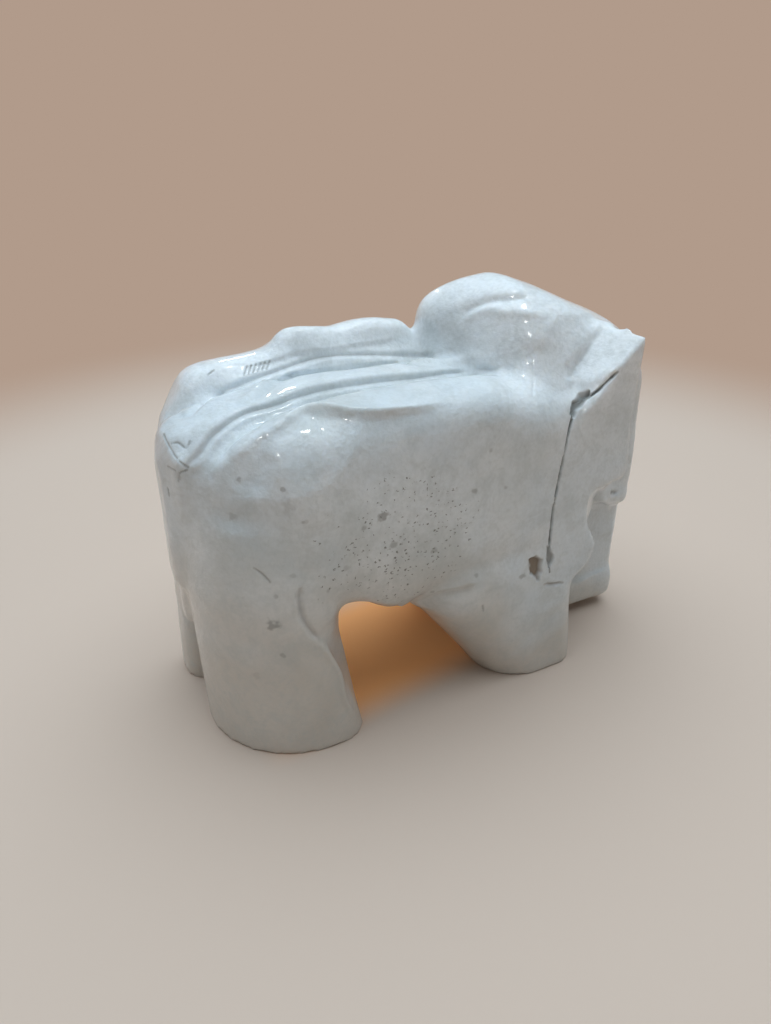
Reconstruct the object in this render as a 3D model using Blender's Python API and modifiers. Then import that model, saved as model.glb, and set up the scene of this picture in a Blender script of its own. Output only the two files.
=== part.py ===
"""Alabaster elephant: one block of stone, sawn to an outline, carved, ground round and polished.

Metres, +Z up. The origin is on the ground under the middle of the carving, +X runs towards the
head and +Y is the elephant's left. Places are shares: of LENGTH along X, of WIDTH along Y and of
HEIGHT along Z, so that a longer, wider or taller block keeps the same animal in it.
"""
from math import cos, pi, sin

import bmesh
import bpy
import numpy as np
from mathutils import Matrix, Vector

# Block
LENGTH = 0.152
WIDTH = 0.063
HEIGHT = 0.121

# Carving
GROOVE_DEPTH = 0.0058
GROOVE_HALF_WIDTH = 0.0036
CRACK_WIDTH = 0.0024
CRACK_DEPTH = 0.0030
TRUNK_CLEARANCE = 0.0040
EAR_THICKNESS = 0.0125
TUSK_DIAMETER = 0.0090

# Grinding: the grain of the even surface, its rounding passes and the share of facets kept
GRAIN = LENGTH / 116
ROUNDING_PASSES = 5
FACETS_KEPT = 0.100

STONE = (0.62, 0.60, 0.56, 1.0)
STONE_ROUGHNESS = 0.22


def clear_scene():
    for item in list(bpy.data.objects):
        bpy.data.objects.remove(item, do_unlink=True)


def collection(name):
    group = bpy.data.collections.new(name)
    bpy.context.scene.collection.children.link(group)
    return group


def alabaster():
    material = bpy.data.materials.new("alabaster")
    material.use_nodes = True
    shader = material.node_tree.nodes["Principled BSDF"]
    shader.inputs["Base Color"].default_value = STONE
    shader.inputs["Roughness"].default_value = STONE_ROUGHNESS
    shader.inputs["Metallic"].default_value = 0.0
    return material


def place(x, y, z):
    """A point of the block from its shares of length, width and height."""
    return Vector((x * LENGTH, y * WIDTH, z * HEIGHT))


def curve_through(pairs):
    """A smooth function through (place, value) pairs that never overshoots them."""
    at, value = np.array(pairs, float).T
    step = np.diff(at)
    slope = np.diff(value) / step
    tangent = np.zeros_like(value)
    tangent[0], tangent[-1] = slope[0], slope[-1]
    for i in range(1, len(at) - 1):
        if slope[i - 1] * slope[i] > 0:
            before, after = 2 * step[i] + step[i - 1], step[i] + 2 * step[i - 1]
            tangent[i] = (before + after) / (before / slope[i - 1] + after / slope[i])

    def evaluate(where):
        where = float(np.clip(where, at[0], at[-1]))
        i = int(np.clip(np.searchsorted(at, where) - 1, 0, len(step) - 1))
        t = (where - at[i]) / step[i]
        return float((1 + 2 * t) * (1 - t) ** 2 * value[i] + t * (1 - t) ** 2 * step[i] * tangent[i]
                     + t * t * (3 - 2 * t) * value[i + 1] + t * t * (t - 1) * step[i] * tangent[i + 1])

    return evaluate


def columns(table):
    """One smooth function of the first column for each of the others."""
    return [curve_through([(row[0], row[i]) for row in table]) for i in range(1, len(table[0]))]


def mesh_of(bm, name):
    mesh = bpy.data.meshes.new(name)
    bm.to_mesh(mesh)
    bm.free()
    return mesh


def loft(bm, rings):
    """Skins rings with the same number of points and closes both ends."""
    rows = [[bm.verts.new(point) for point in ring] for ring in rings]
    count = len(rows[0])
    faces = [bm.faces.new((low[i], low[(i + 1) % count], high[(i + 1) % count], high[i]))
             for low, high in zip(rows, rows[1:]) for i in range(count)]
    faces += [bm.faces.new(rows[0]), bm.faces.new(rows[-1])]
    bmesh.ops.recalc_face_normals(bm, faces=faces)


def oval(count, squareness):
    """Even points round a unit oval whose sides get flatter as squareness grows from 2."""
    for side in range(4):
        for i in range(count // 4):
            slide = 2 * i / (count // 4) - 1
            across, up = ((1, slide), (-slide, 1), (-1, -slide), (slide, -1))[side]
            reach = (abs(across) ** squareness + abs(up) ** squareness) ** (-1 / squareness)
            yield across * reach, up * reach


def cornered(x0, x1, y0, y1, corners, segments=7):
    """Points round a box in plan. Each corner is a quarter oval whose two radii fit the box."""
    radii = np.array(corners)
    next_radii = np.roll(radii, -1, axis=0)
    along = (x1 - x0) / (radii + next_radii)[[0, 2], 0].max()
    across = (y1 - y0) / (radii + next_radii)[[1, 3], 1].max()
    radii = radii * min(1, along, across)
    corner_points = ((x1, y1, -1, -1), (x0, y1, 1, -1), (x0, y0, 1, 1), (x1, y0, -1, 1))
    for quarter, ((x, y, sx, sy), (rx, ry)) in enumerate(zip(corner_points, radii)):
        for i in range(segments + 1):
            angle = pi / 2 * (quarter + i / segments)
            yield x + sx * rx + rx * cos(angle), y + sy * ry + ry * sin(angle)


# Torso, as cross sections along X: heights of the two crests and the spine, and half widths
BACK_RIGHT = curve_through([(-.50, .62), (-.485, .69), (-.469, .735), (-.443, .762), (-.408, .788),
                           (-.353, .817), (-.295, .835), (-.237, .843), (-.145, .846), (-.048, .841),
                           (.055, .832), (.113, .816), (.170, .796), (.40, .74)])
SPINE = curve_through([(-.503, .66), (-.498, .745), (-.475, .785), (-.440, .803), (-.363, .823),
                       (-.290, .836), (-.220, .838), (-.100, .833), (0, .830), (.15, .808),
                       (.20, .796), (.40, .76)])
BACK_LEFT = curve_through([(-.50, .64), (-.470, .72), (-.436, .772), (-.403, .833), (-.373, .847),
                           (-.255, .860), (-.208, .888), (-.085, .888), (.007, .880), (.113, .791),
                           (.18, .765), (.40, .74)])
FLANK_RIGHT = curve_through([(-.500, .06), (-.485, .12), (-.47, .18), (-.455, .24), (-.43, .31),
                             (-.38, .42), (-.30, .495), (-.15, .50), (.10, .50), (.22, .49),
                             (.28, .44), (.33, .36), (.36, .28)])
FLANK_LEFT = curve_through([(-.500, .04), (-.49, .10), (-.48, .22), (-.467, .36), (-.45, .44),
                            (-.42, .49), (-.38, .50), (.22, .50), (.28, .44), (.33, .36), (.36, .28)])
BELLY = curve_through([(-.503, .42), (-.46, .36), (-.25, .365), (-.10, .335), (.20, .33), (.40, .36)])
MIDDLE = .60
RUMP, CHEST = -.500, .36
CREST = .24
GROOVE_RIGHT = curve_through([(-.503, -.19), (-.45, -.20), (-.30, -.165), (.20, -.13)])
GROOVE_LEFT = curve_through([(-.503, .17), (-.30, .165), (.20, .13)])


def back_height(x, y):
    """Height of the back: the right and left crests, and the spine between its two grooves."""
    towards_left = min(max((y + CREST) / (2 * CREST), 0), 1)
    crest = BACK_RIGHT(x) + (BACK_LEFT(x) - BACK_RIGHT(x)) * towards_left
    spine = min(1, 1.6 * max(0, 1 - (y / CREST) ** 2))
    height = crest + (SPINE(x) - crest) * spine
    for groove in (GROOVE_RIGHT(x), GROOVE_LEFT(x)):
        height -= GROOVE_DEPTH / HEIGHT * np.exp(-((y - groove) * WIDTH / GROOVE_HALF_WIDTH) ** 2)
    return height


def torso(bm):
    rings = []
    for x in np.linspace(RUMP, CHEST, 62):
        right, left = FLANK_RIGHT(x), FLANK_LEFT(x)
        ring = []
        for across, up in oval(120, 6):
            y = (left - right) / 2 + (left + right) / 2 * across
            limit = back_height(x, y) if up > 0 else BELLY(x)
            ring.append(place(x, y, MIDDLE + abs(limit - MIDDLE) * up))
        rings.append(ring)
    loft(bm, rings)


# Legs, as plan sections up Z: (height, rear, front, inner side, outer side)
HIND_RIGHT = ((-.03, -.474, -.200, -.06, .50), (.16, -.479, -.228, -.05, .50),
              (.32, -.483, -.246, -.02, .50), (.42, -.485, -.250, 0, .50), (.62, -.470, -.20, 0, .47))
HIND_LEFT = ((-.03, -.485, -.200, .22, .50), (.16, -.478, -.228, .20, .50),
             (.32, -.474, -.246, .15, .50), (.42, -.472, -.250, 0, .50), (.62, -.465, -.20, 0, .47))
FRONT = ((-.03, .100, .292, .075, .50), (.00, .085, .292, .075, .50), (.10, .030, .286, .08, .50),
         (.22, -.040, .275, .06, .50), (.33, -.105, .28, .0, .50), (.45, -.12, .30, .0, .47))
INNER_CORNER = (.05, .12)


def leg(bm, table, side, outer_rear, outer_front):
    """A leg on the left (side 1) or the right (-1). Its outer corners have radii of their own."""
    rear, front, inner, outer = columns(table)
    rings = []
    for z in np.linspace(table[0][0], table[-1][0], 22):
        corners = (outer_front, outer_rear, INNER_CORNER, INNER_CORNER)
        shape = cornered(rear(z), front(z), inner(z), outer(z), corners)
        rings.append([place(x, side * y, z) for x, y in shape])
    loft(bm, rings)


# Head, as cross sections along X, broader and longer on the left
CROWN = curve_through([(.055, .80), (.062, .885), (.08, .935), (.105, .965), (.14, .99), (.175, 1.0),
                       (.215, .985), (.30, .935), (.37, .895), (.42, .845), (.445, .76), (.455, .70)])
HEAD_RIGHT = curve_through([(.055, -.06), (.08, .06), (.11, .18), (.14, .27), (.18, .35), (.24, .38),
                            (.36, .38), (.41, .30), (.445, .16), (.455, .08)])
HEAD_LEFT = curve_through([(.055, .30), (.07, .40), (.10, .45), (.20, .46), (.34, .45), (.40, .34),
                           (.445, .16), (.455, .08)])
NAPE, BROW = .055, .455
JAW = .42
SQUARENESS_RIGHT = curve_through([(.055, 2.3), (.20, 2.5), (.33, 4), (.455, 4)])
SQUARENESS_LEFT = curve_through([(.055, 2.2), (.20, 2.2), (.33, 3), (.455, 3)])


def head(bm):
    rings = []
    for x in np.linspace(NAPE, BROW, 36):
        right, left = HEAD_RIGHT(x), HEAD_LEFT(x)
        middle, half = (left - right) / 2, (left + right) / 2
        centre, rise = (CROWN(x) + JAW) / 2, (CROWN(x) - JAW) / 2
        sides = zip(oval(48, SQUARENESS_RIGHT(x)), oval(48, SQUARENESS_LEFT(x)))
        ring = [towards_right if towards_right[0] < 0 else towards_left
                for towards_right, towards_left in sides]
        rings.append([place(x, middle + half * across, centre + rise * up) for across, up in ring])
    loft(bm, rings)


# Trunk, as plan sections up Z: (height, rear, front, half width)
TRUNK = ((0, .35, .494, .18), (.05, .345, .499, .192), (.105, .345, .500, .192), (.13, .375, .500, .16),
         (.20, .375, .500, .155), (.34, .36, .497, .165), (.40, .30, .495, .215), (.50, .28, .487, .235),
         (.66, .28, .468, .26), (.76, .28, .447, .30), (.84, .28, .41, .26))
TRUNK_CORNER = (.024, .058)


def trunk(bm):
    rear, front, half = columns(TRUNK)
    rings = []
    for z in np.linspace(TRUNK_CLEARANCE / HEIGHT, TRUNK[-1][0], 44):
        shape = cornered(rear(z), front(z), -half(z), half(z), (TRUNK_CORNER,) * 4)
        rings.append([place(x, y, z) for x, y in shape])
    loft(bm, rings)


# Ear, outlined in the side view, leaning back from its outer face
EAR = ((.345, .888), (.350, .72), (.356, .545), (.320, .532), (.282, .528), (.272, .498), (.277, .43),
       (.303, .375), (.300, .325), (.280, .297), (.245, .272), (.215, .280), (.190, .33), (.184, .42),
       (.188, .53), (.198, .66), (.208, .74), (.225, .765), (.258, .79))
EAR_LEAN = (-.016, .006)


def ear(bm, side):
    outer = [place(x, side / 2, z) for x, z in EAR]
    back, up = EAR_LEAN
    inward = Vector((back * LENGTH, -side * EAR_THICKNESS, up * HEIGHT))
    loft(bm, [outer, [point + inward for point in outer]])


# Tusk: a short stump that lies along the side of the trunk
TUSK_ROOT = (.38, .195, .425)
TUSK_TIP = (.485, .165, .375)


def tusk(bm, side):
    root, tip = (place(x, side * y, z) for x, y, z in (TUSK_ROOT, TUSK_TIP))
    turn = (tip - root).to_track_quat("Z", "Y").to_matrix().to_4x4()
    bmesh.ops.create_cone(bm, cap_ends=True, segments=16, radius1=TUSK_DIAMETER / 2,
                          radius2=TUSK_DIAMETER / 2.4, depth=(tip - root).length,
                          matrix=Matrix.Translation((root + tip) / 2) @ turn)


# Tail: a low band down the rump that leans to the left: (height, rear, middle, half width)
TAIL = ((.26, -.486, .09, .06), (.38, -.488, .06, .09), (.52, -.487, .01, .12), (.66, -.486, -.03, .15),
        (.75, -.485, -.04, .16))
TAIL_CORNER = (.012, .05)
TAIL_FRONT = -.42


def tail(bm):
    rear, middle, half = columns(TAIL)
    rings = []
    for z in np.linspace(TAIL[0][0], TAIL[-1][0], 14):
        shape = cornered(rear(z), TAIL_FRONT, middle(z) - half(z), middle(z) + half(z), (TAIL_CORNER,) * 4)
        rings.append([place(x, y, z) for x, y in shape])
    loft(bm, rings)


def masses():
    """All the masses of the animal, still overlapping, in one mesh."""
    bm = bmesh.new()
    torso(bm)
    leg(bm, HIND_RIGHT, -1, outer_rear=(.19, .44), outer_front=(.06, .12))
    leg(bm, HIND_LEFT, 1, outer_rear=(.05, .12), outer_front=(.08, .15))
    for side in (-1, 1):
        leg(bm, FRONT, side, outer_rear=(.11, .25), outer_front=(.05, .10))
    head(bm)
    trunk(bm)
    tail(bm)
    for side in (-1, 1):
        ear(bm, side)
        tusk(bm, side)
    return mesh_of(bm, "elephant")


# Crack behind each ear: (along, height, width as a multiple of CRACK_WIDTH)
CRACK = ((.300, .812, .6), (.255, .785, .8), (.222, .760, 1.5), (.210, .735, 1.9), (.203, .700, 1.2),
         (.197, .650, .8), (.186, .530, .8), (.181, .420, .8), (.188, .330, 1.2), (.196, .308, 1.2))


def cracks():
    """The blades that cut the two cracks, as one mesh."""
    bm = bmesh.new()
    for side in (-1, 1):
        points = [place(x, side / 2, z) for x, z, _ in CRACK]
        rings = []
        for i, (point, (_, _, wide)) in enumerate(zip(points, CRACK)):
            run = points[min(i + 1, len(points) - 1)] - points[max(i - 1, 0)]
            out = Vector((0, side, 0))
            across = run.cross(out).normalized() * CRACK_WIDTH * wide
            rings.append([point + out * CRACK_DEPTH - across, point - out * CRACK_DEPTH * wide ** 0.5,
                          point + out * CRACK_DEPTH + across])
        loft(bm, rings)
    return mesh_of(bm, "cracks")


def ground():
    """The flat that the soles are ground on."""
    bpy.ops.mesh.primitive_cube_add(size=1)
    box = bpy.context.object
    box.name = "ground"
    box.data.transform(Matrix.Diagonal((2 * LENGTH, 2 * WIDTH, HEIGHT, 1)))
    box.data.transform(Matrix.Translation((0, 0, -HEIGHT / 2)))
    return box


def cut(target, cutter, name):
    cutter.hide_render = True
    cutter.display_type = "WIRE"
    difference = target.modifiers.new(name, "BOOLEAN")
    difference.operation = "DIFFERENCE"
    difference.solver = "EXACT"
    difference.object = cutter


def build():
    clear_scene()
    parts = collection("alabaster_elephant")
    cutters = collection("cutters")

    elephant = bpy.data.objects.new("elephant", masses())
    elephant.data.materials.append(alabaster())
    parts.objects.link(elephant)
    crack_blades = bpy.data.objects.new("cracks", cracks())
    cutters.objects.link(crack_blades)
    flat = ground()
    for group in list(flat.users_collection):
        group.objects.unlink(flat)
    cutters.objects.link(flat)

    skin = elephant.modifiers.new("one skin", "REMESH")
    skin.mode = "VOXEL"
    skin.voxel_size = GRAIN
    rounding = elephant.modifiers.new("rounding", "SMOOTH")
    rounding.factor = 0.5
    rounding.iterations = ROUNDING_PASSES
    facets = elephant.modifiers.new("facets", "DECIMATE")
    facets.ratio = FACETS_KEPT
    cut(elephant, crack_blades, "cracks")
    cut(elephant, flat, "soles")


build()
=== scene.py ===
from math import cos, radians, sin

import bmesh
import bpy
import numpy as np
from mathutils import Matrix, Vector, noise
from mathutils.bvhtree import BVHTree
from mathutils.kdtree import KDTree


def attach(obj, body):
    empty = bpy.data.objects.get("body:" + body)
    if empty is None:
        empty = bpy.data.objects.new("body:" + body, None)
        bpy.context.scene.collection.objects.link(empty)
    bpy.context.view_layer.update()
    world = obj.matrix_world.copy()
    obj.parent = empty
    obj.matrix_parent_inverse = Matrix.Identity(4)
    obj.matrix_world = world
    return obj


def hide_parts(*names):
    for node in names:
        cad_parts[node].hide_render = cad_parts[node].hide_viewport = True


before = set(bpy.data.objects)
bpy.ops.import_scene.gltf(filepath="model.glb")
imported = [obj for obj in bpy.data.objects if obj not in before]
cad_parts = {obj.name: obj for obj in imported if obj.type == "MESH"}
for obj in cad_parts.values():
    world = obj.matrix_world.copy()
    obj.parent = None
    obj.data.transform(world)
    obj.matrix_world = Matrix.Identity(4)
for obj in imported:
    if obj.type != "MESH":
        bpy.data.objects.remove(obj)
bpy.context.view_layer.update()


# Camera
# Held in the hand a little above the carving and close to it, behind its right side.
EYE = Vector((-0.10545, -0.18812, 0.176))
PITCH = radians(30.0)
YAW = radians(26.687)
PICTURE_WIDTH = 771
PICTURE_HEIGHT = 1024
FOCAL_PIXELS = 800
SENSOR = 36.0

ahead = Vector((sin(YAW) * cos(PITCH), cos(YAW) * cos(PITCH), -sin(PITCH)))
rightward = Vector((cos(YAW), -sin(YAW), 0))
upward = rightward.cross(ahead)
camera = bpy.data.objects.new("camera", bpy.data.cameras.new("camera"))
bpy.context.scene.collection.objects.link(camera)
bpy.context.scene.camera = camera
camera.data.sensor_width = SENSOR
camera.data.lens = FOCAL_PIXELS / PICTURE_HEIGHT * SENSOR
camera.data.clip_start = 0.005
axes = Matrix((rightward, upward, -ahead)).transposed().to_4x4()
camera.matrix_world = Matrix.Translation(EYE) @ axes


def sight_line(x, y):
    """The direction from the lens through one pixel of the picture."""
    across, up = x - PICTURE_WIDTH / 2, PICTURE_HEIGHT / 2 - y
    return (ahead * FOCAL_PIXELS + rightward * across + upward * up).normalized()


def in_picture(points):
    """The pixel under which each point shows."""
    offset = points - np.array(EYE)
    depth = offset @ np.array(ahead)
    across = offset @ np.array(rightward) / depth
    up = offset @ np.array(upward) / depth
    return np.stack((PICTURE_WIDTH / 2 + FOCAL_PIXELS * across,
                     PICTURE_HEIGHT / 2 - FOCAL_PIXELS * up), axis=1)


# Block
# The carving is one block of alabaster, sawn flat on both sides, with its edges ground round.
# The stone takes each stroke of the carver's tools as a move of the points of its surface.
MM = 0.001
GRAIN = 1.1 * MM
POLISHING_PASSES = 14
EAR_POLISH = 0.15
ARCH_POLISH = 0.2
SOLE_DEPTH = 0.35 * MM


def rough_block(node):
    """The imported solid, merged and given an even skin of small quads."""
    bm = bmesh.new()
    bm.from_mesh(node.data)
    bmesh.ops.remove_doubles(bm, verts=bm.verts, dist=0.001 * MM)
    mesh = bpy.data.meshes.new("rough")
    bm.to_mesh(mesh)
    bm.free()
    rough = bpy.data.objects.new("rough", mesh)
    bpy.context.scene.collection.objects.link(rough)
    skin = rough.modifiers.new("skin", "REMESH")
    skin.mode = "VOXEL"
    skin.voxel_size = GRAIN
    view = bpy.context.evaluated_depsgraph_get()
    even = bpy.data.meshes.new_from_object(rough.evaluated_get(view))
    bpy.data.objects.remove(rough)
    return even


class Stone:
    """The surface of the stone: its points, which way each faces, and the stains and painted shade in it.
    """

    STAINS_AND_SHADE = ("dirt_and_shade", "grey", "brown_and_shade", "pits")
    REACH_NOISE = 500
    OUTLINE_NOISE = 600
    UNDERCUT_PEAK = 1.28
    HIDDEN_BEHIND = 3 * MM
    FLAT_FILL = 3 * MM
    FLAT_CUT = 5 * MM

    def __init__(self, mesh):
        self.mesh = mesh
        for name in self.STAINS_AND_SHADE:
            mesh.attributes.new(name, "FLOAT", "POINT")
        self.read()

    def read(self):
        """Takes the points, edges, stains and painted shade from the mesh."""
        count = len(self.mesh.vertices)
        self.points = np.empty(count * 3)
        self.mesh.vertices.foreach_get("co", self.points)
        self.points = self.points.reshape(-1, 3)
        ends = np.empty(len(self.mesh.edges) * 2, int)
        self.mesh.edges.foreach_get("vertices", ends)
        self.ends = ends.reshape(-1, 2)
        self.links = np.bincount(self.ends.ravel(), minlength=count)
        self.stains_and_shade = {}
        for name in self.STAINS_AND_SHADE:
            self.stains_and_shade[name] = np.empty(count)
            self.mesh.attributes[name].data.foreach_get("value", self.stains_and_shade[name])
        self.settle()

    def settle(self):
        """Writes the points, stains and painted shade back and finds the outward directions again."""
        self.mesh.vertices.foreach_set("co", self.points.ravel())
        for name, values in self.stains_and_shade.items():
            self.mesh.attributes[name].data.foreach_set("value", values)
        self.mesh.update()
        normals = np.empty(len(self.points) * 3)
        self.mesh.vertices.foreach_get("normal", normals)
        self.normals = normals.reshape(-1, 3)

    def mean(self, values):
        """The mean of each point's neighbours."""
        a, b = self.ends.T
        total = np.zeros_like(values)
        for axis in range(values.shape[1]):
            total[:, axis] = np.bincount(a, values[b, axis], len(values))
            total[:, axis] += np.bincount(b, values[a, axis], len(values))
        return total / self.links[:, None]

    def polish(self, passes, where=1.0):
        """Rubs small unevenness away and keeps the larger form: each pass pulls in, then pushes out."""
        where = np.broadcast_to(where, len(self.points))[:, None]
        for _ in range(passes):
            for push in (0.5, -0.52):
                self.points += push * where * (self.mean(self.points) - self.points)
        self.settle()

    def grind(self, passes, where):
        """Takes high places down into one smooth surface."""
        for _ in range(passes):
            self.points += 0.6 * where[:, None] * (self.mean(self.points) - self.points)
        self.settle()

    def tree(self):
        """What finds where a line of sight meets the stone as it is now."""
        faces = [face.vertices for face in self.mesh.polygons]
        return BVHTree.FromPolygons(self.points.tolist(), faces)

    def refine(self, lines, *reaches):
        """Halves the grain within reach of the lines, once for each reach."""
        self.settle()
        near = search_tree(np.concatenate(lines))
        for reach in reaches:
            bm = bmesh.new()
            bm.from_mesh(self.mesh)
            edges = [edge for edge in bm.edges
                     if near.find((edge.verts[0].co + edge.verts[1].co) / 2)[2] < reach]
            bmesh.ops.subdivide_edges(bm, edges=edges, cuts=1, use_grid_fill=True)
            bm.to_mesh(self.mesh)
            bm.free()
        self.read()

    def nearest(self, line, reach):
        """Which points lie within reach of a line, how far and on which side, and how far along."""
        low, high = line.min(0) - reach, line.max(0) + reach
        inside = np.flatnonzero(((self.points > low) & (self.points < high)).all(1))
        near = search_tree(line)
        found = [near.find(point)[1:] for point in self.points[inside]]
        best = np.array([index for index, _ in found], int)
        gaps = np.array([gap for _, gap in found])
        close = gaps < reach
        inside, best, gaps = inside[close], best[close], gaps[close]
        run = np.gradient(line, axis=0)[best]
        offset = self.points[inside] - line[best]
        side = np.einsum("ij,ij->i", np.cross(self.normals[inside], run), offset)
        return inside, gaps * np.where(side < 0, -1, 1), best / max(len(line) - 1, 1)

    def work(self, line, reach, profile, ends=0.15):
        """Moves the surface out by profile(side) along a line, less and less towards its ends."""
        which, side, along = self.nearest(line, reach)
        fade = np.clip(np.minimum(along, 1 - along) / ends, 0, 1) if ends else 1
        self.points[which] += self.normals[which] * (profile(side) * fade)[:, None]

    def groove(self, line, width, depth, ends=0.15):
        self.work(line, 3 * width, lambda side: -depth * np.exp(-(side / width) ** 2), ends)

    def ridge(self, line, width, height, ends=0.15):
        self.groove(line, width, -height, ends)

    def undercut(self, line, width, depth, ends=0.15):
        """Steepens the stone just below a line that runs to the right, which leaves an edge there."""
        def profile(side):
            below = np.maximum(-side / width, 0)
            return -self.UNDERCUT_PEAK * depth * below * np.exp(1 - below) * np.clip(1 - below / 4, 0, 1)
        self.work(line, 4 * width, profile, ends)

    def along(self, line, reach, edge=0.2 * MM):
        """One within an uneven reach of a line, and nothing beyond it."""
        which, side, _ = self.nearest(line, 1.4 * reach + edge)
        uneven = [noise.noise(Vector(point) * self.REACH_NOISE) for point in self.points[which]]
        weights = np.zeros(len(self.points))
        reaches = reach * (1 + 0.6 * np.array(uneven))
        weights[which] = np.clip((reaches + edge - np.abs(side)) / (2 * edge), 0, 1)
        return weights

    def window(self, outline, soft=2.0):
        """One where the stone shows inside an outline of pixels, falling to nothing outside it."""
        corners = np.array(outline, float)
        spots = in_picture(self.points)
        facing = np.einsum("ij,ij->i", self.normals, np.array(EYE) - self.points) > 0
        low, high = corners.min(0) - soft, corners.max(0) + soft
        near = np.flatnonzero(facing & ((spots > low) & (spots < high)).all(1))
        x, y = spots[near].T
        inside = np.zeros(len(near), bool)
        gap = np.full(len(near), np.inf)
        for (x0, y0), (x1, y1) in zip(corners, np.roll(corners, -1, axis=0)):
            run_x, run_y = x1 - x0, y1 - y0
            inside ^= ((y0 > y) != (y1 > y)) & (x < x0 + (y - y0) * run_x / (run_y or 1))
            share = ((x - x0) * run_x + (y - y0) * run_y) / (run_x ** 2 + run_y ** 2)
            share = np.clip(share, 0, 1)
            gap = np.minimum(gap, np.hypot(x - x0 - share * run_x, y - y0 - share * run_y))
        uneven = [noise.noise(Vector(point) * self.OUTLINE_NOISE) for point in self.points[near]]
        gap = np.where(inside, gap, -gap) + 1.5 * np.array(uneven)
        weights = np.zeros(len(self.points))
        weights[near] = np.clip(0.5 + gap / (2 * soft), 0, 1)
        for index in np.flatnonzero(weights):
            sight = Vector(self.points[index]) - EYE
            met = touch.ray_cast(EYE, sight.normalized())[3]
            if met and met < sight.length - self.HIDDEN_BEHIND:
                weights[index] = 0
        return weights

    def flatten(self, where, corner, facing):
        """Grinds a flat: the plane through corner that faces that way. Stone far below it is left."""
        facing = np.array(Vector(facing).normalized())
        height = (self.points - np.array(corner)) @ facing
        near = np.clip((height / MM + 4) / 1.5, 0, 1)
        moved = where * near * np.clip(height, -self.FLAT_FILL, self.FLAT_CUT)
        self.points -= moved[:, None] * facing
        self.settle()

    def sink(self, where, depth):
        """Lowers the stone evenly, as a broad chisel does."""
        self.points -= (where * depth)[:, None] * self.normals
        self.settle()

    def draw(self, target, reach):
        """Leaves the stone standing out to a point, with a soft slope round it."""
        target = np.array(target)
        middle = self.points[np.linalg.norm(self.points - target, axis=1).argmin()].copy()
        share = np.clip(1 - np.linalg.norm(self.points - middle, axis=1) / reach, 0, 1)
        self.points += (share ** 2 * (3 - 2 * share))[:, None] * (target - middle)
        self.settle()

    def stain_and_shade(self, name, where):
        """Darkens the stone there, at least as much as it was: for stains and for painted shade."""
        self.stains_and_shade[name] = np.maximum(self.stains_and_shade[name], where)


def search_tree(samples):
    """What finds the nearest of some points."""
    tree = KDTree(len(samples))
    for index, point in enumerate(samples):
        tree.insert(point, index)
    tree.balance()
    return tree


def smooth_line(corners, step=0.4 * MM):
    """Close samples of a curve through a few points."""
    corners = [Vector(corner) for corner in corners]
    padded = [2 * corners[0] - corners[1], *corners, 2 * corners[-1] - corners[-2]]
    samples = []
    for p0, p1, p2, p3 in zip(padded, padded[1:], padded[2:], padded[3:]):
        count = max(2, int((p2 - p1).length / step))
        for i in range(count):
            t = i / count
            samples.append(0.5 * (2 * p1 + (p2 - p0) * t + (2 * p0 - 5 * p1 + 4 * p2 - p3) * t * t
                                  + (3 * p1 - p0 - 3 * p2 + p3) * t ** 3))
    return np.array([*samples, corners[-1]])


def traced(*pixels):
    """A line on the stone under a row of pixels of the picture."""
    found = [touch.ray_cast(EYE, sight_line(x, y))[0] for x, y in pixels]
    return smooth_line([point for point in found if point])


def beside(inside, outline):
    """The point seen at the outline pixel, as far away as the stone under the inside pixel."""
    distance = (touch.ray_cast(EYE, sight_line(*inside))[0] - EYE).length
    return EYE + distance * sight_line(*outline)


stone = Stone(rough_block(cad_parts["elephant"]))
along, across, up = stone.points.T
sole = up < SOLE_DEPTH
ear_zone = (np.abs(across) > 13 * MM) & (along > 26 * MM) & (up > 34 * MM)
arch_zone = (along > -42 * MM) & (along < -27 * MM) & (up > 32 * MM) & (up < 48 * MM)
rubbed = np.where(ear_zone, EAR_POLISH, np.where(arch_zone, ARCH_POLISH, 1.0))
for _ in range(3):
    rubbed = stone.mean(rubbed[:, None])[:, 0]
stone.polish(POLISHING_PASSES, rubbed)
stone.points[sole, 2] = 0
stone.settle()
touch = stone.tree()


# Back
# Two deep gouges part the spine from the crests beside it. The carver's grinder left soft ridges.
SPINE_GROOVE_RIGHT = ((187, 470), (189, 465), (200, 453), (212, 437), (224, 427), (236, 418), (251, 411),
                      (267, 407), (282, 403), (293, 398), (310, 393), (327, 389), (350, 385), (380, 381),
                      (418, 377), (456, 371.5), (485, 370), (502, 371))
SPINE_GROOVE_LEFT = ((168, 414), (183, 416), (198, 406), (220, 394), (241, 384), (262, 376), (286, 368),
                     (310, 360), (327, 356.5), (344, 355), (380, 355), (425, 355.6), (456, 351))
SPINE_GROOVE_LEFT_BEND = SPINE_GROOVE_LEFT[2:6]
SPINE_VALLEY_LEFT = SPINE_GROOVE_LEFT[3:]
CREST_OUTLINE_LEFT = (((372, 331), (372, 320.3), 17 * MM), ((410, 336), (410, 325.5), 8 * MM),
                      ((283, 340), (283, 331.5), 8 * MM), ((312, 338), (312, 327.5), 10 * MM))
CREST_STEP_LEFT = ((241, 366), (262, 362), (285, 355), (310, 350), (335, 347.5), (360, 343), (385, 340),
                   (400, 337))
SPINE_TOP = ((214, 408), (237, 401), (258, 390), (284, 376), (306, 371), (330, 369), (362, 364),
             (395, 362), (430, 360), (470, 358), (500, 359))
SPINE_LOWER_STRAND = ((252, 404), (272, 397), (290, 392), (305, 386), (325, 382), (350, 378), (385, 374),
                      (420, 371))
CREST_EDGE_RIGHT = ((247, 444), (257, 438), (275, 427), (291, 415), (301, 408), (318, 404), (335, 406),
                    (353, 409.5), (380, 410), (405, 408), (425, 406), (449, 401))
SPINE_NICK = ((396, 364), (396.5, 369), (395, 374))
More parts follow.
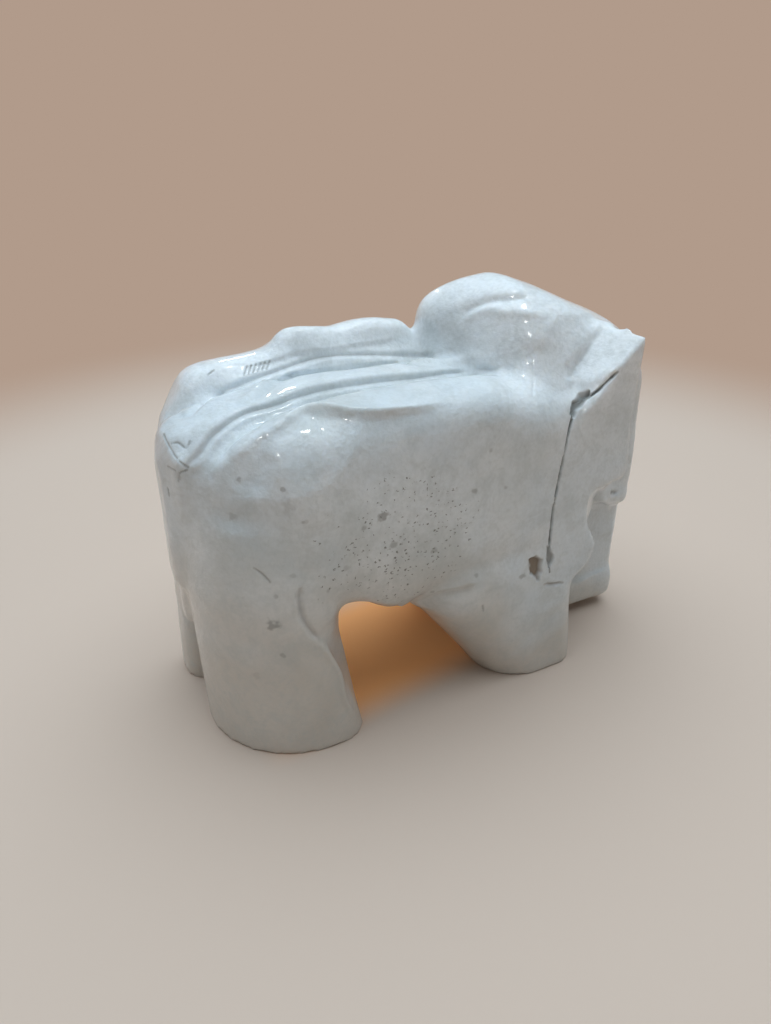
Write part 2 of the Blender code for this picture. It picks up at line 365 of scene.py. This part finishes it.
HAUNCH_TOP = ((228, 470), (252, 447), (275, 430), (301, 412), (330, 409), (352, 414), (352, 450),
              (325, 482), (280, 496), (240, 490))
HAUNCH_PLANE = ((268, 436), (285, 466), (306, 505), (320, 532))
HAUNCH_HOLLOW = ((222, 452), (262, 440), (272, 462), (262, 490), (232, 496), (214, 478))

for inside, outline, reach in CREST_OUTLINE_LEFT:
    stone.draw(beside(inside, outline), reach)
right_valley, left_valley = traced(*SPINE_GROOVE_RIGHT), traced(*SPINE_VALLEY_LEFT)
stone.refine([right_valley, left_valley, traced(*CREST_EDGE_RIGHT), traced(*CREST_STEP_LEFT)], 3 * MM)
stone.ridge(right_valley, 3.4 * MM, 1.7 * MM, 0.06)
stone.ridge(left_valley, 3.0 * MM, 1.5 * MM, 0.06)
stone.settle()
for valley in (right_valley, left_valley):
    stone.grind(12, stone.along(valley, 4 * MM, 2 * MM))
stone.grind(160, stone.window(HAUNCH_TOP, 6))
touch = stone.tree()
stone.groove(traced(*SPINE_GROOVE_RIGHT), 0.9 * MM, 1.0 * MM, 0.04)
stone.groove(traced(*SPINE_GROOVE_LEFT), 0.8 * MM, 1.0 * MM, 0.03)
stone.groove(traced(*SPINE_GROOVE_LEFT_BEND), 1.1 * MM, 0.7 * MM, 0.3)
stone.undercut(traced(*CREST_STEP_LEFT), 1.5 * MM, 0.7 * MM)
stone.ridge(traced(*SPINE_TOP), 1.6 * MM, 0.6 * MM)
stone.undercut(traced(*SPINE_TOP), 3.0 * MM, 0.9 * MM)
stone.ridge(traced(*SPINE_LOWER_STRAND), 0.9 * MM, 0.3 * MM)
stone.ridge(traced(*CREST_EDGE_RIGHT), 1.2 * MM, 0.4 * MM)
stone.undercut(traced(*CREST_EDGE_RIGHT), 2.4 * MM, 0.6 * MM, 0.35)
stone.undercut(traced(*CREST_EDGE_RIGHT), 8 * MM, 2.2 * MM, 0.35)
stone.ridge(traced(*HAUNCH_PLANE), 4.0 * MM, 0.5 * MM)
stone.groove(traced(*SPINE_NICK), 0.8 * MM, 0.4 * MM)
stone.settle()
stone.sink(stone.window(HAUNCH_HOLLOW, 9), 0.9 * MM)
stone.polish(1)
touch = stone.tree()


# Head
# A dome that runs forward and down to the ears, with a few shallow grinding marks across its crown.
NAPE_INSIDE = (436, 311)
NAPE_OUTLINE = (422, 308)
NECK_SIDE = ((524, 352), (552, 347), (566, 380), (568, 420), (522, 432), (506, 388))
BROW_CREASE = ((456, 317), (470, 310), (483, 303.5), (493, 300.5), (506, 299), (519, 298), (533, 297))
BROW_ROLL = ((458, 319), (480, 311), (493, 309.5), (506, 312), (516, 311), (526, 312.5), (549, 317))
HEAD_BY_EAR = ((562, 322), (595, 318), (611, 319), (605, 334), (586, 356), (571, 378), (558, 388),
               (536, 368))
HEAD_SCRATCH = ((529, 356), (531, 364), (533.5, 381), (532.5, 398))
HEAD_CHIP = ((523, 348), (536, 349), (532, 360), (528, 359))

stone.draw(beside(NAPE_INSIDE, NAPE_OUTLINE), 17 * MM)
stone.grind(70, stone.window(NECK_SIDE, 10))
stone.grind(180, stone.window(HEAD_BY_EAR, 6))
touch = stone.tree()
brow_crease, brow_roll = traced(*BROW_CREASE), traced(*BROW_ROLL)
head_scratch = traced(*HEAD_SCRATCH)
stone.refine([brow_crease, brow_roll], 3 * MM)
stone.refine([head_scratch], 2 * MM, 1.2 * MM)
stone.groove(brow_crease, 1.2 * MM, 0.8 * MM)
stone.ridge(brow_roll, 1.5 * MM, 0.55 * MM)
stone.groove(head_scratch, 0.35 * MM, 0.2 * MM)
stone.settle()
stone.sink(stone.window(HEAD_CHIP, 2), 0.2 * MM)


# Ears
# Thick slabs left standing on the sides of the head, each ground to a flat at its top.
# A crack runs down behind the right one, from a chipped notch. Dirt and painted shade darken it.
EAR_FLAT = ((612, 320), (597, 332), (578, 353), (565, 370), (564, 375), (579, 384), (586, 388),
            (604, 383), (623, 367), (636, 349), (645, 336))
EAR_FLAT_CORNER = (0.0522, -0.031, 0.1085)
EAR_FLAT_EDGE = ((0.0507, -0.0255, 0.1091), (0.0497, -0.020, 0.1105))
EAR_FLAT_END = (0.0488, -0.0165, 0.1108)
EAR_FLAT_FACING = (-0.631, -0.294, 0.718)
EAR_FLAT_TURN = 0.7
EAR_INNER_SIDE = 14
EAR_TOP_BACK = 34
EAR_TOP_LOW = 93
EAR_CORNER_BACK = 46.5
EAR_CORNER_LOW = 100
EAR_CORNER_SOFT = 4
EDGE_CORNER_SAMPLES = 5
EDGE_END_SAMPLES = 12
OUTER_FACE = 31.3 * MM
NECK_PLACE = 26 * MM
CRACK = ((574, 412), (570, 429), (566, 448), (561.5, 469), (557, 492), (553, 514), (550.5, 535),
         (549, 560), (549.5, 572))
CRACK_TOP = ((583, 401), (588, 397), (597, 391), (607, 382), (618, 372))
CRACK_STROKE = 8
CRACK_STEP = 6
CRACK_DEPTH = 1.3
CRACK_UNEVEN = 1.6
CRACK_NOISE = 400
NOTCH = ((589, 391), (589, 396), (583, 403), (577, 411), (574, 417), (571, 414), (573, 402), (579, 394))
CRACK_CHIP = ((547, 546), (551, 550), (554, 558), (550, 566), (547, 560))
EAR_FLAT_FOOT = ((569, 375), (582, 384), (606, 377), (610, 386), (591, 393), (575, 391))
BROWN_CAVITY = ((530, 560), (536, 556), (542, 560), (541, 572), (538, 580), (531, 574))
LOBE_SHADE = traced((545, 584.5), (554, 584.5), (563, 583))

stone.grind(40, stone.along(traced(*CRACK), 2.4 * MM, 0.8 * MM))
for side in (1, -1):
    mirror = np.array((1, side, 1))
    edge = smooth_line([EAR_FLAT_CORNER, *EAR_FLAT_EDGE, EAR_FLAT_END]) * mirror
    stone.refine([edge], 3 * MM)
    stone.draw(EAR_FLAT_CORNER * mirror, 13 * MM)
    for point in EAR_FLAT_EDGE:
        stone.draw(point * mirror, 8 * MM)
    along, across, up = (stone.points * mirror).T / MM
    turned = stone.normals @ (EAR_FLAT_FACING * mirror) > EAR_FLAT_TURN
    top = turned & (along > EAR_TOP_BACK) & (across < -EAR_INNER_SIDE) & (up > EAR_TOP_LOW)
    shown = stone.window(EAR_FLAT, 1.5) if side == 1 else top.astype(float)
    stone.flatten(shown, EAR_FLAT_CORNER * mirror, EAR_FLAT_FACING * mirror)
    along, across, up = (stone.points * mirror).T / MM
    above = (stone.points * mirror - EAR_FLAT_CORNER) @ EAR_FLAT_FACING > 0
    corner = above & (along > EAR_CORNER_BACK) & (up > EAR_CORNER_LOW)
    corner = corner * np.clip((-across - EAR_INNER_SIDE) / EAR_CORNER_SOFT, 0, 1)
    stone.flatten(corner, EAR_FLAT_CORNER * mirror, EAR_FLAT_FACING * mirror)
    stone.grind(12, stone.along(edge[-EDGE_END_SAMPLES:], 2.5 * MM, 1 * MM))
    stone.grind(4, stone.along(edge[EDGE_CORNER_SAMPLES:], 1.4 * MM, 0.6 * MM))
stone.grind(8, stone.window(EAR_FLAT_FOOT, 1.5))
outer_face = (np.abs(stone.points[:, 1]) > OUTER_FACE) & (stone.points[:, 0] > NECK_PLACE)
stone.points[outer_face, 1] = OUTER_FACE * np.sign(stone.points[outer_face, 1])
stone.settle()
touch = stone.tree()
crack, crack_top = traced(*CRACK), traced(*CRACK_TOP)
chips = [traced(*NOTCH), traced(*CRACK_CHIP), traced(*BROWN_CAVITY)]
stone.refine([crack, crack_top, LOBE_SHADE, *chips], 1.8 * MM, 1.2 * MM)
# Painted shade: the crack, the line along the ear's top, the notch and the chip are darkened where shade
# falls in them, over some dirt.
stone.stain_and_shade("dirt_and_shade", 0.8 * stone.along(crack, 0.28 * MM))
stone.stain_and_shade("dirt_and_shade", 0.75 * stone.along(crack_top, 0.32 * MM))
stone.stain_and_shade("dirt_and_shade", 0.7 * stone.window(NOTCH, 1.5))
stone.stain_and_shade("dirt_and_shade", 0.6 * stone.window(CRACK_CHIP, 1))
# The cavity is painted brown. Under the lobe's lower edge lies a painted shadow line.
stone.stain_and_shade("brown_and_shade", stone.window(BROWN_CAVITY, 1.5))
stone.stain_and_shade("brown_and_shade", 0.5 * stone.along(LOBE_SHADE, 0.4 * MM))
stone.sink(stone.window(NOTCH, 1.5), 1.6 * MM)
stone.sink(stone.window(CRACK_CHIP, 1), 0.8 * MM)
stone.sink(stone.window(BROWN_CAVITY, 1.5), 1.4 * MM)
for start in range(0, len(crack) - CRACK_STROKE + 1, CRACK_STEP):
    depth = CRACK_DEPTH + CRACK_UNEVEN * noise.noise(Vector(crack[start]) * CRACK_NOISE)
    stone.groove(crack[start:start + CRACK_STROKE], 0.34 * MM, depth * MM, 0.1)
stone.groove(crack_top, 0.35 * MM, 1.0 * MM, 0.1)
stone.groove(LOBE_SHADE, 0.6 * MM, 0.7 * MM)
stone.settle()


# Rump and tail
# A low tail band hangs from the end of the spine. Fine lines are scratched beside its root.
RUMP_SCRATCHES = (((163.6, 434), (167, 442.6), (174, 454.7), (181, 463), (188, 467)),
                  ((168, 466.5), (172, 469), (175.7, 470.5)),
                  ((187, 470), (181, 472), (179, 475), (178.5, 481)),
                  ((172, 443.5), (178, 443), (184, 447.5), (187, 447), (190, 441)))
BACK_TICKS = [((247 + 4.5 * n, 366 - n), (244 + 4.5 * n, 375 - 1.2 * n)) for n in range(6)]
LOOSE_MARKS = (((214, 370), (208, 375)), ((167.5, 488), (169, 496)), ((254, 568), (262, 574), (270, 582)),
               ((482.6, 605.5), (483.5, 611)))

scratches = [traced(*pixels) for pixels in (*RUMP_SCRATCHES, *BACK_TICKS, *LOOSE_MARKS)]
stone.refine(scratches, 1.5 * MM, 1.0 * MM)
for scratch in scratches:
    # The scratches are painted dark along their grooves: dirt and painted shade.
    stone.stain_and_shade("dirt_and_shade", 0.5 * stone.along(scratch, 0.25 * MM))
    stone.groove(scratch, 0.28 * MM, 0.28 * MM, 0.1)
stone.settle()


# Legs and belly
# Thick legs with an arch cut between them. The right hind leg has a flat ground along its front edge.
WEDGE_CREASE = ((301.5, 587), (300, 600), (302.7, 616), (310, 629.6), (321, 640.5))
WEDGE_EDGE = ((321, 641), (331, 657), (339.5, 672.5), (344, 695), (350.3, 710), (357, 717))
SHOULDER_EDGE = ((414.5, 601.5), (434.6, 593.5), (457.4, 588), (477.5, 582.8))
BELLY_SAG = 4.2 * MM
SAG_MIDDLE = -21.5
SAG_HALF_LENGTH = 7.5
SAG_LOW = 34
WEDGE_SIDE = -31
WEDGE_DEPTH = 9
WEDGE_DEEPEST = -20
WEDGE_FRONT = -20
WEDGE_TOP = 46
WEDGE_FADE = 14
WEDGE_HEIGHTS = (0, 9.5, 28, 40, 48.5)
WEDGE_OUTER = (-32.5, -35.4, -41.4, -45.7, -50.6)
WEDGE_INNER = (-31.0, -32.3, -34.9, -36.6, -37.7)

along, across, up = stone.points.T / MM
outer = np.interp(up, WEDGE_HEIGHTS, WEDGE_OUTER)
inner = np.interp(up, WEDGE_HEIGHTS, WEDGE_INNER)
flat = WEDGE_SIDE + WEDGE_DEPTH * (along - outer) / (inner - outer)
fade = np.clip((WEDGE_TOP - up) / WEDGE_FADE, 0, 1)
wedge = (up < WEDGE_TOP) & (across < WEDGE_DEEPEST) & (across < flat)
wedge &= (along > outer) & (along < WEDGE_FRONT)
stone.points[wedge, 1] += ((np.minimum(flat, WEDGE_DEEPEST) - across) * fade)[wedge] * MM
sag = np.exp(-((along - SAG_MIDDLE) / SAG_HALF_LENGTH) ** 2)
sag = sag * np.clip((53 - up) / 9, 0, 1) * np.clip((-13 - across) / 8, 0, 1)
stone.points[:, 2] -= np.where(up > SAG_LOW, BELLY_SAG * sag, 0)
stone.settle()
touch = stone.tree()
wedge_crease, wedge_edge = traced(*WEDGE_CREASE), traced(*WEDGE_EDGE)
shoulder_edge = traced(*SHOULDER_EDGE)
stone.refine([wedge_crease, wedge_edge, shoulder_edge], 2 * MM)
# The crease is darkened a little: painted shade.
stone.stain_and_shade("dirt_and_shade", 0.12 * stone.along(wedge_crease, 0.8 * MM, 0.6 * MM))
stone.groove(wedge_crease, 0.7 * MM, 1.0 * MM)
stone.ridge(wedge_edge, 1.0 * MM, 0.7 * MM)
stone.undercut(shoulder_edge, 2.5 * MM, 1.0 * MM)
stone.settle()


# Trunk and tusk
# The trunk hangs to just above the ground, with a ground ledge near its tip and a short tusk beside it.
TRUNK_FLAT_EDGE = ((613, 520), (610, 540), (607, 561))
TRUNK_LEDGE = ((574, 586), (590, 576), (607, 570))
TUSK_TOP = ((599.5, 497.5), (606, 502), (610.5, 509.5))
TRUNK_PIT = ((612.5, 492.5), (616.5, 493))

flat_edge, ledge = traced(*TRUNK_FLAT_EDGE), traced(*TRUNK_LEDGE)
tusk_top, trunk_pit = traced(*TUSK_TOP), traced(*TRUNK_PIT)
stone.refine([flat_edge, ledge, tusk_top, trunk_pit], 2 * MM)
stone.ridge(flat_edge, 0.8 * MM, 0.3 * MM)
stone.ridge(ledge, 1.0 * MM, 0.5 * MM)
stone.ridge(tusk_top, 0.9 * MM, 0.7 * MM)
# The pit is painted dark: painted shade.
stone.stain_and_shade("dirt_and_shade", 0.5 * stone.along(trunk_pit, 0.5 * MM))
stone.groove(trunk_pit, 0.8 * MM, 0.8 * MM, 0)
stone.settle()


# Marks in the stone
# Grey inclusions lie in the stone, and the polish did not close its fine pits.
# Each inclusion is a pixel, a width in pixels and a strength.
INCLUSIONS = ((273.5, 625.4, 10, 0.75), (384, 517, 8, 0.8), (232.5, 517, 7, 0.4), (239.3, 480, 4, 0.5),
              (283.5, 489.6, 4, 0.6), (288.5, 506, 12, 0.22), (306, 521.6, 4, 0.3), (283.5, 655.5, 4, 0.5),
              (257, 676, 7, 0.2), (276, 596, 4, 0.4), (435, 551, 5, 0.5), (395, 544, 5, 0.5),
              (475, 491, 5, 0.6), (506, 488, 4, 0.4), (491, 451, 4, 0.4), (364, 528, 4, 0.5),
              (304, 522, 3, 0.5), (477.5, 574.7, 4, 0.5), (432.6, 592, 3, 0.4), (328.6, 591, 3, 0.4),
              (522.5, 577, 5, 0.6), (293, 576, 4, 0.3), (347.6, 568, 5, 0.3), (597, 392, 3, 0.6))
PITTED_MIDDLE = traced((398, 545), (400, 545))[0]
PITTED_HALF_LENGTH = 26 * MM
PITTED_HALF_HEIGHT = 21 * MM
PIXEL = 0.35 * MM
INCLUSION_NOISE = 900

marks = [traced((x - 0.5, y), (x + 0.5, y)) for x, y, width, strength in INCLUSIONS]
stone.refine(marks, 2.4 * MM, 1.6 * MM)
ragged = np.array([noise.noise(Vector(point) * INCLUSION_NOISE) for point in stone.points])
for line, (x, y, width, strength) in zip(marks, INCLUSIONS):
    gaps = np.linalg.norm(stone.points - line[0], axis=1) / (width / 2 * PIXEL)
    stone.stain_and_shade("grey", strength * np.clip(2.1 - 1.8 * gaps + 1.7 * ragged, 0, 1))
offset = stone.points - PITTED_MIDDLE
spread = (offset[:, 0] / PITTED_HALF_LENGTH) ** 2 + (offset[:, 2] / PITTED_HALF_HEIGHT) ** 2
stone.stain_and_shade("pits", np.clip(1.15 - spread, 0.0, 1.0))


# Piece
# The finished carving takes the place of the solid, and stands on its flat soles.
# Grinding by hand left the whole surface very slightly uneven.
WAVE = 0.16 * MM
LONG_WAVES = 75
SHORT_WAVES = 190
SOLE_SKIN = 0.3 * MM
sway = [noise.noise(Vector(point) * LONG_WAVES) + 0.5 * noise.noise(Vector(point) * SHORT_WAVES)
        for point in stone.points]
stone.points += stone.normals * (np.array(sway) * WAVE)[:, None]
stone.points[:, 2] = np.maximum(stone.points[:, 2], 0)
stone.points[stone.points[:, 2] < SOLE_SKIN, 2] = 0
stone.settle()
carving = bpy.data.objects.new("alabaster_carving", stone.mesh)
bpy.context.scene.collection.objects.link(carving)
for face in carving.data.polygons:
    face.use_smooth = True


# Alabaster
# White gypsum stone, cloudy and a little translucent, polished to a wet gloss.
# Its lower part is painted a warmer, darker white: partly the stone, partly painted warm light thrown up
# from the card. The top of the head is painted paler, a painted highlight. Dirt and painted shade darken
# the crack and the open pits.
class Tone:
    """A socket of a shader, with the arithmetic that joins it to others."""

    def __init__(self, tree, socket=None):
        self.tree = tree
        self.socket = socket

    def node(self, kind, settings=None, sockets=None, output=0):
        """A node of that kind, with its settings made first and then its sockets filled."""
        made = self.tree.nodes.new(kind)
        for name, value in (settings or {}).items():
            setattr(made, name, value)
        for name, value in (sockets or {}).items():
            if isinstance(value, Tone):
                self.tree.links.new(value.socket, made.inputs[name])
            else:
                made.inputs[name].default_value = value
        return Tone(self.tree, made.outputs[output])

    def math(self, operation, first, second):
        return self.node("ShaderNodeMath", {"operation": operation}, {0: first, 1: second})

    def __add__(self, other):
        return self.math("ADD", self, other)

    def __radd__(self, other):
        return self.math("ADD", other, self)

    def __sub__(self, other):
        return self.math("SUBTRACT", self, other)

    def __rsub__(self, other):
        return self.math("SUBTRACT", other, self)

    def __mul__(self, other):
        return self.math("MULTIPLY", self, other)

    def __rmul__(self, other):
        return self.math("MULTIPLY", other, self)

    def __gt__(self, other):
        return self.math("GREATER_THAN", self, other)

    def blend(self, first, second, share):
        """The first colour, turning into the second as the share rises."""
        return self.node("ShaderNodeMix", {"data_type": "RGBA"}, {0: share, 6: first, 7: second}, 2)

    def rise(self, low, high):
        """Nothing below low, one above high, and a soft slope between."""
        return self.node("ShaderNodeMapRange", {"interpolation_type": "SMOOTHSTEP"},
                         {"Value": self, "From Min": low, "From Max": high})

    def feed(self, **sockets):
        """Joins tones to sockets of the surface shader."""
        shader = self.tree.nodes["Principled BSDF"]
        for name, value in sockets.items():
            self.tree.links.new(value.socket, shader.inputs[name.replace("_", " ")])


STONE_WHITE = (0.68, 0.72, 0.735, 1)
PAINTED_CROWN_LIGHT = (0.80, 0.84, 0.86, 1)
STONE_BLUE = (0.53, 0.63, 0.71, 1)
STONE_GREY = (0.42, 0.46, 0.455, 1)
WARM_STONE_AND_BOUNCE = (0.51, 0.455, 0.385, 1)
DIRT_AND_SHADE = (0.085, 0.085, 0.065, 1)
GREY_INCLUSION = (0.17, 0.17, 0.16, 1)
BROWN_AND_SHADE = (0.16, 0.105, 0.05, 1)
PITS_SCALE = 820
PITS_RARITY = 0.92


def alabaster():
    """The stone: cloudy white, with the stains, painted shade and pits laid over it under a clear polish.
    """
    material = bpy.data.materials.new("alabaster")
    material.use_nodes = True
    tree = material.node_tree
    shader = tree.nodes["Principled BSDF"]
    tone = Tone(tree)
    place = tone.node("ShaderNodeTexCoord", output="Object")
    stains_and_shade = {name: tone.node("ShaderNodeAttribute", {"attribute_name": name}, output="Fac")
              for name in Stone.STAINS_AND_SHADE}
    forward, across, height = (tone.node("ShaderNodeSeparateXYZ", {}, {0: place}, axis)
                               for axis in "XYZ")

    def cloud(scale, output=0, **more):
        """Cloudy unevenness in the stone, finer at a larger scale."""
        return tone.node("ShaderNodeTexNoise", {}, {"Vector": place, "Scale": scale, **more}, output)

    clouds = cloud(38, Detail=5, Roughness=0.62, Distortion=0.7).rise(0.42, 0.70)
    drift = cloud(16, Detail=3, Distortion=1.0).rise(0.35, 0.65)
    mottle = cloud(115, Detail=6, Roughness=0.65, Distortion=1.2).rise(0.42, 0.66)
    grain = cloud(800, Detail=3)
    # Painted bounce light: the lower part is made warmer and darker, partly the stone's own tone, partly
    # warm light thrown up from the card.
    low = 1 - (height + forward * 0.25 + 0.03 * drift).rise(0.014, 0.070)
    warm_stone_and_bounce = low * (0.75 + 0.25 * drift)
    body = tone.blend(STONE_WHITE, STONE_GREY, clouds * 0.55)
    body = tone.blend(body, STONE_BLUE, drift * 0.45)
    body = tone.blend(body, WARM_STONE_AND_BOUNCE, warm_stone_and_bounce * 0.85)
    # Painted highlight: the top of the head is made paler, where it shows bright with light.
    crown = (forward.rise(0.004, 0.020) + across.rise(0.007, 0.013)) * height.rise(0.085, 0.100)
    body = tone.blend(body, PAINTED_CROWN_LIGHT, crown * 0.7)
    body = tone.blend(body, STONE_GREY, mottle * 0.28 + (grain - 0.45) * 0.7)

    bent = cloud(1500, "Color")
    bent = tone.node("ShaderNodeVectorMath", {"operation": "SCALE"}, {0: bent, "Scale": 0.0016}, "Vector")
    bent = tone.node("ShaderNodeVectorMath", {"operation": "ADD"}, {0: place, 1: bent}, "Vector")
    cell = tone.node("ShaderNodeTexVoronoi", {}, {"Vector": bent, "Scale": PITS_SCALE}, "Distance")
    lot = tone.node("ShaderNodeTexVoronoi", {}, {"Vector": bent, "Scale": PITS_SCALE}, "Color")
    lot = tone.node("ShaderNodeSeparateColor", {}, {0: lot}, "Red")
    patch = cloud(130, Detail=2)
    chosen = (lot + stains_and_shade["pits"] * 0.52 + (patch - 0.5) * 2.0) > PITS_RARITY
    pits = (1 - cell.rise(0.16, 0.30)) * chosen * stains_and_shade["pits"].rise(0.0, 0.35)

    body = tone.blend(body, GREY_INCLUSION, stains_and_shade["grey"] * 0.8)
    body = tone.blend(body, DIRT_AND_SHADE, pits * 0.8)
    body = tone.blend(body, DIRT_AND_SHADE, stains_and_shade["dirt_and_shade"])
    body = tone.blend(body, BROWN_AND_SHADE, stains_and_shade["brown_and_shade"] * 0.9)
    matt = 0.34 + 0.35 * stains_and_shade["dirt_and_shade"] + 0.3 * stains_and_shade["brown_and_shade"]
    shader.inputs["Subsurface Weight"].default_value = 0.3
    shader.inputs["Subsurface Radius"].default_value = (1.0, 0.85, 0.7)
    shader.inputs["Subsurface Scale"].default_value = 0.0025
    shader.inputs["IOR"].default_value = 1.52
    shader.inputs["Coat Weight"].default_value = 0.7
    shader.inputs["Coat Roughness"].default_value = 0.07
    ripple = cloud(260, Detail=5, Roughness=0.6)
    shiver = cloud(1100, Detail=3)
    bump = tone.node("ShaderNodeBump", {}, {"Strength": 0.6, "Distance": 0.0006,
                                            "Height": ripple + shiver * 0.3})
    tone.feed(Base_Color=body, Roughness=matt, Normal=bump)
    return material


carving.data.materials.clear()
carving.data.materials.append(alabaster())
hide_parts("elephant")
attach(carving, "root")


# Floor
# A sheet of pale peach card. It runs back and up into a low curved wall, where it looks deeper.
# Under the belly the card is painted orange and faintly glowing: painted shade and painted bounce light.
FLOOR_RADIUS = 3.0
WALL_HEIGHT = 0.5
PALE_REACH = 0.22
WALL_REACH = 0.37
CARD_NEAR = (0.57, 0.465, 0.39, 1)
PAINTED_SHADE_ORANGE = (0.92, 0.44, 0.18, 1)
PAINTED_BOUNCE_GLOW = (0.055, 0.030, 0.014, 1)
CARD_FAR = (0.44, 0.327, 0.258, 1)
SHADE_MIDDLE = (-0.010, 0.004, 0)
SHADE_FACING = (0.16, -0.98, 0)


def card():
    """The card: pale near the carving, painted orange and glowing faintly in its shade under the belly,
    and deeper where it rises to the wall.
    """
    material = bpy.data.materials.new("card")
    material.use_nodes = True
    tree = material.node_tree
    shader = tree.nodes["Principled BSDF"]
    tone = Tone(tree)
    place = tone.node("ShaderNodeTexCoord", output="Object")
    reach = tone.node("ShaderNodeVectorMath", {"operation": "LENGTH"}, {0: place}, "Value")
    far = reach.rise(PALE_REACH, WALL_REACH)
    offset = tone.node("ShaderNodeVectorMath", {"operation": "SUBTRACT"},
                       {0: place, 1: SHADE_MIDDLE}, "Vector")
    toward = tone.node("ShaderNodeVectorMath", {"operation": "DOT_PRODUCT"},
                       {0: offset, 1: SHADE_FACING}, "Value")
    side = tone.node("ShaderNodeSeparateXYZ", {}, {0: offset}, "X")
    # Painted shade and bounce light: under the belly the card is painted orange and given a faint glow.
    shade = (1 - toward.rise(0.014, 0.030)) * (1 - (0 - toward).rise(0.018, 0.036))
    shade = shade * (1 - side.rise(0.030, 0.055)) * (1 - (0 - side).rise(0.035, 0.055))
    near = tone.blend(CARD_NEAR, PAINTED_SHADE_ORANGE, shade)
    lit = tone.blend(near, (0, 0, 0, 1), far)
    glow = tone.blend((0, 0, 0, 1), PAINTED_BOUNCE_GLOW, shade)
    glow = tone.blend(glow, CARD_FAR, far)
    shader.inputs["Roughness"].default_value = 0.8
    shader.inputs["Specular IOR Level"].default_value = 0.0
    shader.inputs["Emission Strength"].default_value = 1.0
    tone.feed(Base_Color=lit, Emission_Color=glow)
    return material


bm = bmesh.new()
bmesh.ops.create_circle(bm, cap_ends=True, segments=96, radius=FLOOR_RADIUS)
rim = bmesh.ops.extrude_edge_only(bm, edges=[edge for edge in bm.edges])["geom"]
rim = [vert for vert in rim if isinstance(vert, bmesh.types.BMVert)]
bmesh.ops.translate(bm, verts=rim, vec=(0, 0, WALL_HEIGHT))
bmesh.ops.recalc_face_normals(bm, faces=bm.faces)
bmesh.ops.reverse_faces(bm, faces=[face for face in bm.faces if face.normal.z < -0.5])
floor_mesh = bpy.data.meshes.new("floor")
bm.to_mesh(floor_mesh)
bm.free()
floor = bpy.data.objects.new("floor", floor_mesh)
floor_mesh.materials.append(card())
bpy.context.scene.collection.objects.link(floor)


# Light
# A wide cool light hangs overhead, and small ones glint on the polish. The room fills the rest.
OVERHEAD_PLACE = (0.03, 0.10, 0.84)
OVERHEAD_SIZE = 1.20
OVERHEAD_POWER = 10.8
OVERHEAD_COLOUR = (0.78, 0.90, 1.0)
GLINTS = (((-0.44, -0.52, 0.53), 0.09, 0.55), ((0.10, 0.03, 0.88), 0.07, 0.4),
          ((0.12, 0.75, 0.42), 0.03, 0.13))
ROOM_COLOUR = (0.80, 0.84, 0.84, 1)
ROOM_STRENGTH = 0.29


def lamp(name, place, aim, size, power, colour, diffuse=True, gloss=True):
    """A round light that faces its aim. It can be kept out of the shading or out of the gloss."""
    light = bpy.data.lights.new(name, "AREA")
    light.shape = "DISK"
    light.size = size
    light.energy = power
    light.color = colour
    lamp_object = bpy.data.objects.new(name, light)
    bpy.context.scene.collection.objects.link(lamp_object)
    lamp_object.location = place
    lamp_object.rotation_euler = (Vector(aim) - Vector(place)).to_track_quat("-Z", "Y").to_euler()
    lamp_object.visible_diffuse = diffuse
    lamp_object.visible_glossy = gloss


lamp("overhead", OVERHEAD_PLACE, (0, 0, 0.05), OVERHEAD_SIZE, OVERHEAD_POWER, OVERHEAD_COLOUR,
     gloss=False)
for place, size, power in GLINTS:
    lamp("glint", place, (0, 0, 0.1), size, power, (1, 1, 1), diffuse=False)
world = bpy.data.worlds.new("room")
bpy.context.scene.world = world
world.use_nodes = True
background = world.node_tree.nodes["Background"]
background.inputs["Color"].default_value = ROOM_COLOUR
background.inputs["Strength"].default_value = ROOM_STRENGTH
bpy.context.scene.view_settings.view_transform = "Standard"
